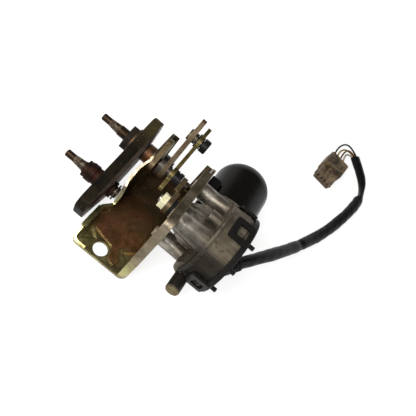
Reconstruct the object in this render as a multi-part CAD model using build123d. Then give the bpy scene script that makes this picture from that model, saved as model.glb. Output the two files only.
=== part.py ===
"""Two-spindle wiper motor assembly.

A pressed bracket holds a worm gearbox and motor on one flange and two wiper spindles on the other.
The crank on the gearbox drives a link rod, which rocks the lever of the drive spindle.
+X runs from the spindle tips to the motor, +Y along the motor axis, +Z up from the surface it lies on.
"""

import math
import os

from build123d import *

os.makedirs("parts", exist_ok=True)

# ---------------------------------------------------------------- fits
RUNNING = 0.05  # radial clearance of a shaft in its bush
CLEAR = 0.3  # gap between neighbours that move past each other
SEAT = 0.02  # radial clearance of a fixed piece in its seat

# ---------------------------------------------------------------- layout of the axes
CRANK_R = 26.3  # crank shaft to crank pin
ROD_L = 46.9  # eye to eye
PARK_ANGLE = 20.3  # crank and rod in line at the parked dead centre, degrees from +Y
GEAR_Y = -31.7
GEAR_Z = 61.2
DRIVE_Y = 12.9
DRIVE_Z = 48.2
SPINDLE_PITCH = 56.0
BAR_ANGLE = 15.5  # the bar's tilt from +Y, degrees
CENTRE_DISTANCE = 27.7  # worm axis to wheel axis
SPINDLE_TIP_X = -99.4
WORM_X = 65.9

# ---------------------------------------------------------------- bracket
SHEET = 2.8
BEND_R = 1.8  # inside radius where the walls turn up from the web
BRACKET_LEFT = -41.0
BRACKET_RIGHT = 25.6
BRACKET_FRONT = -97.7
BRACKET_BACK = 49.3
RIM_H = 6.4  # the low wall that runs right round the web
LOW_FLANGE_H = 15.0
LOW_LIP_W = 5.6  # thickened edge of the low part of the spindle flange
JOGGLE = 7.6
JOGGLE_Y = -44.7
BULGE = 3.5  # the spindle flange swells outward again between joggle and sleeve
SPINDLE_FLANGE_H = 64.2
MOTOR_FLANGE_H = 95.0
MOTOR_LIP_W = 9.0  # lip turned in along the motor flange's front and top edges
EMBOSS = 1.8
DIMPLE = 1.3
BRACKET_HOLE_D = 16.0
BRACKET_HOLE_X = -12.4
BRACKET_HOLE_Y = -84.3

# ---------------------------------------------------------------- spindles
TIP_D = 7.9
SPINDLE_D = 12.0
TAPER_L = 12.0
TAPER_D = 10.8
THREAD_L = 10.0
SPLINE_COUNT = 20
SHANK_L = 9.5
NUT_AF = 27.0
NUT_H = 7.0
WASHER_H = 2.2
WASHER_D = 31.0
COLLAR_D = 18.5
COLLAR_L = 17.5
SLEEVE_D = 21.0
BAR_W = 38.0
BAR_RIM = 11.3
BAR_SHEET = 2.5
BAR_END = 18.0  # metal beyond each spindle, plus half the width
BAR_CORNER = 12.5
IDLER_STUB = 8.0  # the idler spindle beyond the bar
PLATE_T = 3.7
SLEEVE_PLATE_T = 5.2
SLEEVE_PLATE_L = 40.0
SLEEVE_PLATE_W = 34.0

# ---------------------------------------------------------------- lever, rod and crank
HUB_D = 26.0
HUB_L = 12.0
LEVER_T = 5.0
LEVER_W = 17.0
LEVER_TAIL = 17.0
ROD_T = 4.0
ROD_TAIL = 17.0  # tongue past the crank pin
ROD_TIP = 15.0  # tongue past the lever pin
ROD_W = 12.0
EYE_D = 18.0
PIN_D = 8.0
CAP_D = 15.5
CRANK_T = 5.0
CRANK_HUB_W = 20.0
CRANK_END_W = 13.0
CRANK_JOGGLE = 2.6
CRANK_SETBACK = 14.7  # crank hub from the motor flange
SHAFT_D = 10.0
CRANK_NUT_AF = 15.0
CRANK_NUT_H = 6.6

# ---------------------------------------------------------------- gearbox
DRUM_R = 42.4
DRUM_WALL = 3.0
DRUM_SETBACK = 6.8  # from the worm axis back to the drum's closed side
DRUM_DEPTH = 28.0
DRUM_RIM_H = 1.4  # the raised band round the drum's left edge
DRUM_RIM_T = 3.2
LEG_R = 34.0
LEG_ANGLES = (20.0, 135.0, 250.0)
LEG_D = 19.0
LEG_FOOT_L = 25.0  # the leg's foot along the drum's rim
LEG_FOOT_W = 17.0  # and across it
BOLT_D = 6.0
BOLT_AF = 10.0
BOLT_HEAD_H = 5.2
BOLT_WASHER_T = 1.2
BOLT_WASHER_RIM = 1.6
NECK_D = 30.0
NECK_FOOT_D = 38.0
STUB_D = 14.0
STUB_L = 13.0
STUB_R = 30.0
STUB_ANGLE = 86.0
WORM_TUBE_D = 26.0
BEARING_R = 9.5
WORM_TUBE_FRONT = -86.7
BOSS_D = 15.0
BOSS_L = 25.0
CAN_FLANGE_Y = 17.3
CAN_FLANGE_T = 6.0
WHEEL_T = 7.0
WHEEL_TEETH = 50
WORM_R = 4.6
COVER_T = 3.0
COVER_SKIRT = 3.0
COVER_WALL = 2.6  # the skirt's wall round the drum
CLIP_W = 24.0
CLIP_T = 3.0
CLIP_BAR = 5.8  # width of the clip's frame round its window
CLIP_REACH = 23.5  # from the cover's outer face back over the drum
CLIP_ANGLES = (95.0, 190.0, 26.0)
RAMP_H = 2.6  # the cast wedge that a clip snaps over
PEG_D = 4.6
PEG_L = 5.7
PEG_ANGLES = (101.0, 142.0, 183.0)
SEAL_T = 0.8

# ---------------------------------------------------------------- motor
CAN_D = 67.0
CAN_END_Y = 97.7
CAN_WALL = 1.8
CAN_DOME = 24.0
MAGNET_T = 6.0
AIR_GAP = 2.7  # between the magnets and the armature core
MAGNET_L = 32.0
CORE_L = 28.0
ARMATURE_SHAFT_D = 6.0
COMMUTATOR_R = 10
COMMUTATOR_L = 7.0
WINDING_L = 5.0
BRUSH_L = 10.0
TERMINAL_L = 15.0  # the black terminal block on the can's side
TERMINAL_GAP = 3.3  # its clearance from the bracket
TERMINAL_FOOT = 8.5  # how far it reaches in over the can
TERMINAL_DROP = 23.0  # its foot below the can's top
TERMINAL_H = 16.0

# ---------------------------------------------------------------- lead
LEAD_D = 13.0
WIRE_D = 2.6
BOOT_L = 26.0
BOOT_FLANGE_D = 21.0
BOOT_FLANGE_T = 2.2
BOOT_TIP_WALL = 1.6
BOOT_HOLE_D = 13.0
CONNECTOR_W = 33.0
CONNECTOR_L = 30.0
CONNECTOR_H = 20.0
NOSE_W = 28.0
NOSE_L = 22.0
NOSE_H = 16.0
CONNECTOR_X = 164.9
CONNECTOR_Y = 249.3
CONNECTOR_TURN = -8.0

# the lead lies on the same surface as the bracket; each list runs from the gearbox outwards
LEAD_ROUTE = [
    (106.2, -19.0, 42.9),
    (123.1, 5.8, 40.0),
    (148.6, 47.8, 27.0),
    (173.1, 92.3, 13.0),
    (198.1, 143.8, 7.0),
    (214.6, 193.3, 7.0),
    (223.4, 227.3, 7.0),
    (227.6, 261.8, 7.0),
    (216.1, 294.8, 7.0),
    (193.6, 319.3, 7.0),
]
WIRE_ROUTES = {
    "black": [
        (194.4, 321.1, 8.8),
        (182.6, 326.8, 11.0),
        (168.6, 322.8, 14.0),
        (160.6, 308.8, 13.0),
        (158.8, 292.8, 11.0),
        (159.6, 276.7, 10.0),
    ],
    "yellow": [
        (194.4, 321.1, 5.2),
        (183.6, 323.8, 6.0),
        (172.1, 317.8, 8.0),
        (166.1, 304.8, 9.0),
        (164.8, 290.3, 10.0),
        (165.5, 275.8, 10.0),
    ],
    "brown": [
        (191.5, 319.0, 8.8),
        (182.3, 319.8, 10.5),
        (174.6, 313.3, 12.5),
        (171.1, 301.8, 12.5),
        (170.5, 288.3, 11.0),
        (171.5, 275.0, 10.0),
    ],
    "white": [
        (191.5, 319.0, 5.2),
        (182.8, 318.1, 5.2),
        (178.2, 311.3, 5.8),
        (177.2, 299.8, 7.0),
        (177.6, 286.6, 8.5),
        (177.5, 274.2, 10.0),
    ],
}

# ---------------------------------------------------------------- worked out from the above
WORM_Z = GEAR_Z - CENTRE_DISTANCE
PARK = math.radians(PARK_ANGLE)
PIN_Y = GEAR_Y + CRANK_R * math.cos(PARK)
PIN_Z = GEAR_Z + CRANK_R * math.sin(PARK)
LEVER_Y = GEAR_Y + (CRANK_R + ROD_L) * math.cos(PARK)
LEVER_Z = GEAR_Z + (CRANK_R + ROD_L) * math.sin(PARK)
TILT = math.radians(BAR_ANGLE)
IDLER_Y = DRIVE_Y - SPINDLE_PITCH * math.cos(TILT)
IDLER_Z = DRIVE_Z - SPINDLE_PITCH * math.sin(TILT)

TAPER_X = SPINDLE_TIP_X + THREAD_L
SHANK_X = TAPER_X + TAPER_L
NUT_X = SHANK_X + SHANK_L + 0.9
BAR_X = NUT_X + NUT_H + WASHER_H
BAR_BACK_X = BAR_X + BAR_RIM
SLEEVE_X = BAR_BACK_X + PLATE_T
FLANGE_X = BRACKET_LEFT + JOGGLE
FLANGE_IN_X = FLANGE_X + SHEET
SLEEVE_PLATE_X = FLANGE_IN_X
HUB_X = SLEEVE_PLATE_X + SLEEVE_PLATE_T + 2.3
LEVER_X = HUB_X + 5.5
ROD_X = LEVER_X + LEVER_T + 5.0
MOTOR_FLANGE_IN_X = BRACKET_RIGHT - SHEET
CRANK_HUB_X = MOTOR_FLANGE_IN_X - CRANK_SETBACK
CRANK_END_X = CRANK_HUB_X - CRANK_JOGGLE
IDLER_END_X = SLEEVE_X + IDLER_STUB
DRUM_LEFT = WORM_X - DRUM_SETBACK
DRUM_RIGHT = DRUM_LEFT + DRUM_DEPTH
COVER_X = DRUM_RIGHT + SEAL_T
COVER_FACE_X = COVER_X + COVER_T
CHAMBER_X = DRUM_LEFT + DRUM_WALL
PARK_X = WORM_X + WHEEL_T / 2 + 0.8
WHEEL_R = CENTRE_DISTANCE - WORM_R - 0.4
CORE_D = CAN_D - 2 * (CAN_WALL + MAGNET_T + AIR_GAP)
CAN_FACE_Y = CAN_FLANGE_Y + CAN_FLANGE_T
CAN_STRAIGHT_Y = CAN_END_Y - CAN_WALL - 6 - (CAN_DOME - 4)  # where the can starts to round over inside


# ---------------------------------------------------------------- helpers
STANDING = (Align.CENTER, Align.CENTER, Align.MIN)


def facing_x(x, y=0.0, z=0.0, turn=0.0):
    """A sketch plane whose normal is +X, with its own x along +Y, turned about +X by degrees."""
    angle = math.radians(turn)
    return Plane(origin=(x, y, z), x_dir=(0, math.cos(angle), math.sin(angle)), z_dir=(1, 0, 0))


def along_x(radius, x0, x1, y, z):
    """A cylinder along X from x0 to x1."""
    return extrude(facing_x(x0, y, z) * Circle(radius), amount=x1 - x0)


def along_y(radius, y0, y1, x, z):
    """A cylinder along Y from y0 to y1."""
    plane = Plane(origin=(x, y0, z), x_dir=(1, 0, 0), z_dir=(0, 1, 0))
    return extrude(plane * Circle(radius), amount=y1 - y0)


def ring_x(outer, inner, x0, x1, y, z):
    return along_x(outer, x0, x1, y, z) - along_x(inner, x0 - 1, x1 + 1, y, z)


def ring_y(outer, inner, y0, y1, x, z):
    return along_y(outer, y0, y1, x, z) - along_y(inner, y0 - 1, y1 + 1, x, z)


def hex_x(across_flats, x0, x1, y, z, turn=0.0):
    """A hexagon head along X with its corners taken off at the outer end."""
    corner = across_flats / math.sqrt(3)
    prism = extrude(facing_x(x0, y, z, turn) * RegularPolygon(corner, 6), amount=x1 - x0)
    crown = Cone(corner + (x1 - x0), corner - 0.8, x1 - x0 + 0.8, align=STANDING)
    return prism & (Pos(x0, y, z) * Rot(0, 90, 0) * crown)


def rounded(points, radius):
    """A closed face through the points, each corner rounded."""
    return make_face(FilletPolyline(*points, radius=radius, close=True))


def plate_x(face, x0, thickness):
    """Extrude a face drawn as (Y, Z) along X."""
    return extrude(facing_x(x0) * face, amount=thickness)


def polar(y, z, radius, degrees):
    angle = math.radians(degrees)
    return y + radius * math.cos(angle), z + radius * math.sin(angle)


def save(node, shape):
    export_step(shape, f"parts/{node}.step")


# ---------------------------------------------------------------- bracket
def web_outline():
    """The bracket seen from above: joggled inboard behind its low front part, with one shallow swelling."""
    left, right, inboard = BRACKET_LEFT, BRACKET_RIGHT, FLANGE_X
    points = [
        (left, BRACKET_FRONT),
        (right, BRACKET_FRONT),
        (right, BRACKET_BACK),
        (inboard, BRACKET_BACK),
        (inboard, JOGGLE_Y + 44),
        (inboard - BULGE, JOGGLE_Y + 34),
        (inboard - BULGE, JOGGLE_Y + 19),
        (inboard, JOGGLE_Y + 9),
        (inboard, JOGGLE_Y + 4),
        (left, JOGGLE_Y - 6),
    ]
    return rounded(points, [7, 8, 6, 6, 6, 6, 6, 4, 4, 4])


def spindle_flange_outline():
    top = SPINDLE_FLANGE_H
    points = [
        (BRACKET_FRONT, 0),
        (BRACKET_FRONT, RIM_H),
        (BRACKET_FRONT + 14, LOW_FLANGE_H),
        (JOGGLE_Y + 4, LOW_FLANGE_H),
        (JOGGLE_Y + 14, LOW_FLANGE_H + 21),
        (DRIVE_Y - 8, top),
        (BRACKET_BACK, top),
        (BRACKET_BACK, 0),
    ]
    return rounded(points, [0, 2, 6, 5, 8, 10, 8, 0])


def motor_flange_outline():
    top = MOTOR_FLANGE_H
    points = [
        (BRACKET_FRONT, 0),
        (BRACKET_FRONT, RIM_H),
        (BRACKET_FRONT + 22, top),
        (GEAR_Y + 45, top),
        (BRACKET_BACK, top - 39),
        (BRACKET_BACK, 0),
    ]
    return rounded(points, [0, 5, 14, 8, 9, 0])


def embossed_panel():
    """The raised panel: three straight sides behind, cut back round the hole and the two front dimples."""
    left = BRACKET_LEFT + SHEET + 6.5
    right = BRACKET_RIGHT - SHEET - 6.5
    x, y = BRACKET_HOLE_X, BRACKET_HOLE_Y
    points = [
        (left, y + 16),
        (left + 1, y + 64),
        (left + 5, y + 77),
        (x + 9, y + 80),
        (right - 8, y + 70),
        (right, y + 56),
        (right, y + 31),
        (x + 19, y + 19),
        (x + 14, y + 13),
        (x + 22, y + 1),
        (x + 21, y - 7),
        (x + 12, y - 4),
        (x + 7, y + 10),
        (x - 4, y + 12),
    ]
    return rounded(points, 2.5)


def dimple(points):
    """A three-cornered hollow with sloped sides, pressed into the web beside a wall."""
    outer = Sketch() + make_face(Polyline(*points, close=True))
    inner = offset(outer, -2.2)
    return loft([Pos(0, 0, SHEET + 0.01) * outer, Pos(0, 0, SHEET - DIMPLE) * inner])


def dimples():
    left = BRACKET_LEFT + SHEET + 2.5
    right = BRACKET_RIGHT - SHEET - 2.5
    y = BRACKET_HOLE_Y
    yield dimple([(left, y + 17), (left, y - 6), (left + 14, y + 6)])
    yield dimple([(right - 1, y + 24), (right - 1, y + 3), (right - 14, y + 12)])


def edge_lip(outline, x0, width, low, back):
    """A band just inside an outline drawn as (Y, Z), kept above a height and in front of a place."""
    band = plate_x(outline, x0, width) - plate_x(offset(outline, -SHEET), x0 - 1, width + 2)
    keep = Pos(x0 - 1, back, low) * Box(width + 2, 200, 200, align=(Align.MIN, Align.MAX, Align.MIN))
    return band & keep


def bracket():
    left, right = BRACKET_LEFT, BRACKET_RIGHT
    outer = extrude(web_outline(), amount=MOTOR_FLANGE_H)
    outer = fillet(outer.faces().sort_by(Axis.Z)[0].edges(), BEND_R + SHEET)
    inner = extrude(Pos(0, 0, SHEET) * offset(web_outline(), -SHEET), amount=MOTOR_FLANGE_H)
    inner = fillet(inner.faces().sort_by(Axis.Z)[0].edges(), BEND_R)
    spindle_side = plate_x(spindle_flange_outline(), left, JOGGLE + SHEET + 6)
    motor_side = plate_x(motor_flange_outline(), right - 9, 9)
    rim = Box(400, 400, RIM_H, align=STANDING)
    shell = (outer - inner) & (rim + spindle_side + motor_side)
    shell += extrude(embossed_panel(), amount=SHEET + EMBOSS)
    shell -= extrude(offset(embossed_panel(), -0.6), amount=EMBOSS)
    for hollow in dimples():
        shell -= hollow
    shell += edge_lip(motor_flange_outline(), right - MOTOR_LIP_W, MOTOR_LIP_W - 1, 16, GEAR_Y + 37)
    shell += Pos(left + (SHEET - LOW_LIP_W) / 2, JOGGLE_Y - 8, LOW_FLANGE_H - SHEET) * Box(
        LOW_LIP_W, JOGGLE_Y - BRACKET_FRONT - 24, SHEET, align=(Align.MIN, Align.MAX, Align.MIN)
    )
    shell -= Pos(BRACKET_HOLE_X, BRACKET_HOLE_Y, 0) * Cylinder(BRACKET_HOLE_D / 2, 40)
    shell -= along_x(SLEEVE_D / 2 + SEAT, left - 5, FLANGE_IN_X + 1, DRIVE_Y, DRIVE_Z)
    shell -= along_x(NECK_D / 2 - 4, MOTOR_FLANGE_IN_X - 1, right + 1, GEAR_Y, GEAR_Z)
    for angle in LEG_ANGLES:
        y, z = polar(GEAR_Y, GEAR_Z, LEG_R, angle)
        shell -= along_x(BOLT_D / 2 + 0.3, MOTOR_FLANGE_IN_X - 1, right + 1, y, z)
        head_x = MOTOR_FLANGE_IN_X - BOLT_WASHER_T - BOLT_HEAD_H - CLEAR
        shell -= along_x(BOLT_AF / 2 + BOLT_WASHER_RIM + CLEAR, head_x, MOTOR_FLANGE_IN_X, y, z)
    return shell


# ---------------------------------------------------------------- spindle bar
def bar_frame(x):
    """A plane facing +X at the middle of the bar, its own x along the bar."""
    y = (DRIVE_Y + IDLER_Y) / 2 - 3 * math.cos(TILT)
    z = (DRIVE_Z + IDLER_Z) / 2 - 3 * math.sin(TILT)
    return facing_x(x, y, z, BAR_ANGLE)


def bar_outline(inset=0.0):
    length = SPINDLE_PITCH + 2 * BAR_END + BAR_W - 2 * inset
    width = BAR_W - 2 * inset
    return RectangleRounded(length, width, BAR_CORNER - inset)


def spindle_bar():
    shell = extrude(bar_frame(BAR_X) * bar_outline(), amount=BAR_RIM)
    shell = fillet(shell.faces().sort_by(Axis.X)[0].edges(), 2.0)
    hollow = extrude(bar_frame(BAR_X + BAR_SHEET) * bar_outline(BAR_SHEET), amount=BAR_RIM)
    shell = shell - hollow
    shell -= along_x(SPINDLE_D / 2 + 3, BAR_X - 1, BAR_X + BAR_SHEET + 1, DRIVE_Y, DRIVE_Z)
    shell -= along_x(COLLAR_D / 2 + SEAT, BAR_X - 1, BAR_X + BAR_SHEET + 1, IDLER_Y, IDLER_Z)
    return shell


def bar_plate():
    """The plate that closes the bar, dished outward with sloped ends."""
    rim = bar_frame(BAR_BACK_X) * bar_outline(1.2)
    crown = bar_frame(BAR_BACK_X + PLATE_T) * RectangleRounded(SPINDLE_PITCH + 14, BAR_W - 6, 12)
    plate = loft([rim, crown])
    inner_rim = bar_frame(BAR_BACK_X - 0.5) * bar_outline(1.2 + BAR_SHEET)
    inner_crown = bar_frame(SLEEVE_X - BAR_SHEET) * RectangleRounded(SPINDLE_PITCH + 12, BAR_W - 8, 11)
    plate -= loft([inner_rim, inner_crown])
    plate -= along_x(SPINDLE_D / 2 + 3, BAR_X, SLEEVE_X + 1, DRIVE_Y, DRIVE_Z)
    plate -= along_x(COLLAR_D / 2 + SEAT, BAR_X, SLEEVE_X + 1, IDLER_Y, IDLER_Z)
    return plate


# ---------------------------------------------------------------- spindles
def spindle(x_end, y, z):
    """Threaded tip, serrated taper, shank and the long journal that runs in the bushes."""
    tip = along_x(TIP_D / 2, SPINDLE_TIP_X, TAPER_X, y, z)
    tip = chamfer(tip.edges().sort_by(Axis.X)[0], 0.8)
    taper = Pos(TAPER_X, y, z) * Rot(0, 90, 0) * Cone(TIP_D / 2 + 0.1, TAPER_D / 2, TAPER_L, align=STANDING)
    for index in range(SPLINE_COUNT):
        groove = Pos(TAPER_X - 1, y, z) * Rot(360 / SPLINE_COUNT * index, 0, 0) * (
            Pos(0, 0, TIP_D / 2 + 0.75) * Rot(0, 6.2, 0) * Box(
                TAPER_L + 0.6, 0.9, 1.0, align=(Align.MIN, Align.CENTER, Align.CENTER)
            )
        )
        taper -= groove
    shank = along_x(SPINDLE_D / 2, SHANK_X, x_end, y, z)
    return tip + taper + shank


def drive_spindle():
    end = HUB_X + HUB_L + 1.5
    return spindle(end, DRIVE_Y, DRIVE_Z)


def idler_spindle():
    end = IDLER_END_X
    body = spindle(end, IDLER_Y, IDLER_Z)
    groove = ring_x(SPINDLE_D / 2 + 1, SPINDLE_D / 2 - 0.8, end - 3, end - 1.8, IDLER_Y, IDLER_Z)
    return body - groove


def sleeve():
    outer = along_x(SLEEVE_D / 2, SLEEVE_X, SLEEVE_PLATE_X + SLEEVE_PLATE_T, DRIVE_Y, DRIVE_Z)
    neck = along_x(SPINDLE_D / 2 + 3 - SEAT, NUT_X + NUT_H - 3, SLEEVE_X, DRIVE_Y, DRIVE_Z)
    bore = along_x(SPINDLE_D / 2 + 1.8, NUT_X, SLEEVE_PLATE_X + SLEEVE_PLATE_T + 1, DRIVE_Y, DRIVE_Z)
    return outer + neck - bore


def sleeve_bushes():
    start = NUT_X + NUT_H - 3
    end = SLEEVE_PLATE_X + SLEEVE_PLATE_T
    outer = SPINDLE_D / 2 + 1.8 - SEAT
    inner = SPINDLE_D / 2 + RUNNING
    front = ring_x(outer, inner, start, start + 10, DRIVE_Y, DRIVE_Z)
    back = ring_x(outer, inner, end - 12, end, DRIVE_Y, DRIVE_Z)
    return Compound([front, back])


def spindle_nut():
    body = hex_x(NUT_AF, -(NUT_X + NUT_H), -NUT_X, DRIVE_Y, DRIVE_Z, 12)
    body = mirror(body, about=Plane.YZ)
    return body - along_x(SPINDLE_D / 2 + 3, NUT_X - 1, NUT_X + NUT_H + 1, DRIVE_Y, DRIVE_Z)


def spindle_washer():
    start = NUT_X + NUT_H
    return ring_x(WASHER_D / 2, SPINDLE_D / 2 + 3, start, start + WASHER_H, DRIVE_Y, DRIVE_Z)


def idler_collar():
    start = BAR_X - COLLAR_L
    outer = along_x(COLLAR_D / 2 + 0.9, start + 4, start + 12, IDLER_Y, IDLER_Z)
    outer = fillet(outer.edges(), 0.7)
    body = outer + along_x(COLLAR_D / 2, start, SLEEVE_X + 3, IDLER_Y, IDLER_Z)
    return body - along_x(SPINDLE_D / 2 + 1.6, start - 1, SLEEVE_X + 4, IDLER_Y, IDLER_Z)


def idler_bush():
    start = BAR_X - COLLAR_L
    return ring_x(
        SPINDLE_D / 2 + 1.6 - SEAT, SPINDLE_D / 2 + RUNNING, start, SLEEVE_X + 3, IDLER_Y, IDLER_Z
    )


def idler_clip():
    start = IDLER_END_X - 3
    inner = SPINDLE_D / 2 - 0.8 + SEAT
    return ring_x(SPINDLE_D / 2 + 3, inner, start + 0.05, start + 1.15, IDLER_Y, IDLER_Z)


def sleeve_plate():
    """Thick retaining plate behind the spindle flange, pressed on the sleeve's end."""
    x = SLEEVE_PLATE_X
    outline = Pos(6, 0) * RectangleRounded(SLEEVE_PLATE_L, SLEEVE_PLATE_W, 7)
    face = facing_x(x, DRIVE_Y, DRIVE_Z, 30) * outline
    plate = extrude(face, amount=SLEEVE_PLATE_T)
    return plate - along_x(SLEEVE_D / 2 + SEAT, x - 1, x + SLEEVE_PLATE_T + 1, DRIVE_Y, DRIVE_Z)


# ---------------------------------------------------------------- lever and rod
def capsule(y0, z0, r0, y1, z1, r1):
    """Two rounds joined by their common tangents, drawn as (Y, Z)."""
    along = math.degrees(math.atan2(z1 - z0, y1 - y0))
    length = math.hypot(y1 - y0, z1 - z0)
    lean = math.acos((r0 - r1) / length)
    side = []
    for sign in (1, -1):
        a = math.radians(along) + sign * lean
        side.append((y0 + r0 * math.cos(a), z0 + r0 * math.sin(a)))
        side.append((y1 + r1 * math.cos(a), z1 + r1 * math.sin(a)))
    web = make_face(Polyline(side[0], side[1], side[3], side[2], close=True))
    return web + Pos(y0, z0) * Circle(r0) + Pos(y1, z1) * Circle(r1)


def lever():
    """Rocker plate on the drive spindle, with a tongue that runs on past the pin."""
    angle = math.atan2(LEVER_Z - DRIVE_Z, LEVER_Y - DRIVE_Y)
    tail_y = LEVER_Y + LEVER_TAIL * math.cos(angle)
    tail_z = LEVER_Z + LEVER_TAIL * math.sin(angle)
    face = capsule(DRIVE_Y, DRIVE_Z, HUB_D / 2, LEVER_Y, LEVER_Z, LEVER_W / 2)
    face = face + capsule(LEVER_Y, LEVER_Z, LEVER_W / 2, tail_y, tail_z, LEVER_W / 4)
    body = plate_x(face, LEVER_X, LEVER_T)
    body -= along_x(SPINDLE_D / 2 + SEAT, LEVER_X - 1, LEVER_X + LEVER_T + 1, DRIVE_Y, DRIVE_Z)
    body -= along_x(PIN_D / 2 + SEAT, LEVER_X - 1, LEVER_X + LEVER_T + 1, LEVER_Y, LEVER_Z)
    return body


def lever_hub():
    """Hub boss on both sides of the lever plate, faceted at its rim."""
    front = ring_x(HUB_D / 2, SPINDLE_D / 2 + SEAT, HUB_X, LEVER_X, DRIVE_Y, DRIVE_Z)
    start = LEVER_X + LEVER_T
    back = ring_x(HUB_D / 2 - 3, SPINDLE_D / 2 + SEAT, start, HUB_X + HUB_L, DRIVE_Y, DRIVE_Z)
    return Compound([front, back])


def lever_pin():
    """Shouldered pin riveted in the lever, its journal running through the rod's bush."""
    head = along_x(PIN_D / 2 + 2.5, LEVER_X - 2, LEVER_X, LEVER_Y, LEVER_Z)
    shank = along_x(PIN_D / 2, LEVER_X, CRANK_END_X - CLEAR - 3, LEVER_Y, LEVER_Z)
    shoulder = along_x(PIN_D / 2 + 2, LEVER_X + LEVER_T, ROD_X - 2, LEVER_Y, LEVER_Z)
    return head + shank + shoulder


def lever_pin_cap():
    """Large black cap that keeps the rod on the pin."""
    start = ROD_X + ROD_T + 1.5
    end = CRANK_END_X - CLEAR
    cap = along_x(CAP_D / 2, start, end, LEVER_Y, LEVER_Z)
    cap = fillet(cap.edges().sort_by(Axis.X)[-1], 1.5)
    return cap - along_x(PIN_D / 2 + SEAT, start - 1, end - 3, LEVER_Y, LEVER_Z)


def link_rod():
    """Flat link with an eye at each pin and a narrow tongue beyond both."""
    face = capsule(PIN_Y, PIN_Z, ROD_W / 2, LEVER_Y, LEVER_Z, ROD_W / 2)
    ends = (
        (PIN_Y, PIN_Z, ROD_TAIL, PARK_ANGLE + 180),
        (LEVER_Y, LEVER_Z, ROD_TIP, PARK_ANGLE),
    )
    for y, z, tail, heading in ends:
        tip_y, tip_z = polar(y, z, tail, heading)
        face += Pos(y, z) * Circle(EYE_D / 2) + capsule(y, z, ROD_W / 2, tip_y, tip_z, ROD_W / 3)
    body = plate_x(face, ROD_X, ROD_T)
    body -= along_x(PIN_D / 2 + 2, ROD_X - 1, ROD_X + ROD_T + 1, LEVER_Y, LEVER_Z)
    body -= along_x(PIN_D / 2 + SEAT, ROD_X - 1, ROD_X + ROD_T + 1, PIN_Y, PIN_Z)
    return body


def rod_bush():
    """Black plastic bush in the rod's upper eye, flanged on both sides."""
    middle = along_x(PIN_D / 2 + 2 - SEAT, ROD_X - 1.7, ROD_X + ROD_T + 1.2, LEVER_Y, LEVER_Z)
    left = along_x(PIN_D / 2 + 4, ROD_X - 1.7, ROD_X, LEVER_Y, LEVER_Z)
    right = along_x(PIN_D / 2 + 3, ROD_X + ROD_T, ROD_X + ROD_T + 1.2, LEVER_Y, LEVER_Z)
    bore = along_x(PIN_D / 2 + RUNNING, ROD_X - 3, ROD_X + ROD_T + 3, LEVER_Y, LEVER_Z)
    return left + middle + right - bore


def rod_pin():
    """Crank pin held in the rod's lower eye."""
    head = along_x(PIN_D / 2 + 1, ROD_X - 2.5, ROD_X, PIN_Y, PIN_Z)
    shank = along_x(PIN_D / 2, ROD_X, CRANK_END_X - CLEAR, PIN_Y, PIN_Z)
    return fillet(head.edges().sort_by(Axis.X)[0], 1.0) + shank


def rod_pin_bush():
    """Black bush on the crank pin between the rod and the crank arm."""
    start = ROD_X + ROD_T
    end = CRANK_END_X - CLEAR
    body = along_x(CAP_D / 2, start, end, PIN_Y, PIN_Z)
    waist = ring_x(CAP_D / 2 + 1, CAP_D / 2 - 1, start + 3, start + 4.5, PIN_Y, PIN_Z)
    return body - waist - along_x(PIN_D / 2 + SEAT, start - 1, end + 1, PIN_Y, PIN_Z)


# ---------------------------------------------------------------- crank
def crank_arm():
    """Arm on the output shaft, set back towards the rod at its outer end."""
    hub_x, end_x = CRANK_HUB_X, CRANK_END_X
    knee = CRANK_R * 0.52
    knee_y, knee_z = polar(GEAR_Y, GEAR_Z, knee, PARK_ANGLE)
    knee_r = CRANK_END_W / 2 + 0.9
    hub = plate_x(capsule(GEAR_Y, GEAR_Z, CRANK_HUB_W / 2, knee_y, knee_z, knee_r), hub_x, CRANK_T)
    end = plate_x(capsule(knee_y, knee_z, knee_r, PIN_Y, PIN_Z, CRANK_END_W / 2), end_x, CRANK_T)
    beyond_knee = Pos(knee, 0) * Rectangle(60, 60, align=(Align.MIN, Align.CENTER))
    beyond_knee = extrude(facing_x(end_x, GEAR_Y, GEAR_Z, PARK_ANGLE) * beyond_knee, amount=CRANK_T)
    before_knee = Pos(knee, 0) * Rectangle(60, 60, align=(Align.MAX, Align.CENTER))
    before_knee = extrude(facing_x(hub_x, GEAR_Y, GEAR_Z, PARK_ANGLE) * before_knee, amount=CRANK_T)
    body = (hub & before_knee) + (end & beyond_knee)
    body -= along_x(SHAFT_D / 2 + SEAT, end_x - 1, hub_x + CRANK_T + 1, GEAR_Y, GEAR_Z)
    return body


def crank_nut():
    start = CRANK_HUB_X - CRANK_NUT_H
    body = hex_x(CRANK_NUT_AF, -CRANK_HUB_X, -start, GEAR_Y, GEAR_Z, 20)
    body = mirror(body, about=Plane.YZ)
    return body - along_x(SHAFT_D / 2 - 1 + SEAT, start - 1, CRANK_HUB_X + 1, GEAR_Y, GEAR_Z)


def pin_nut():
    """Nut on the crank pin's stub, behind the arm."""
    start = CRANK_END_X + CRANK_T
    return hex_x(9, start, start + 3.6, PIN_Y, PIN_Z, 10)


def output_shaft():
    thread = along_x(SHAFT_D / 2 - 1, CRANK_HUB_X - CRANK_NUT_H - 2, CRANK_HUB_X, GEAR_Y, GEAR_Z)
    journal = along_x(SHAFT_D / 2, CRANK_HUB_X, WORM_X + WHEEL_T / 2 + 3, GEAR_Y, GEAR_Z)
    return chamfer(thread.edges().sort_by(Axis.X)[0], 0.8) + journal


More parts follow.
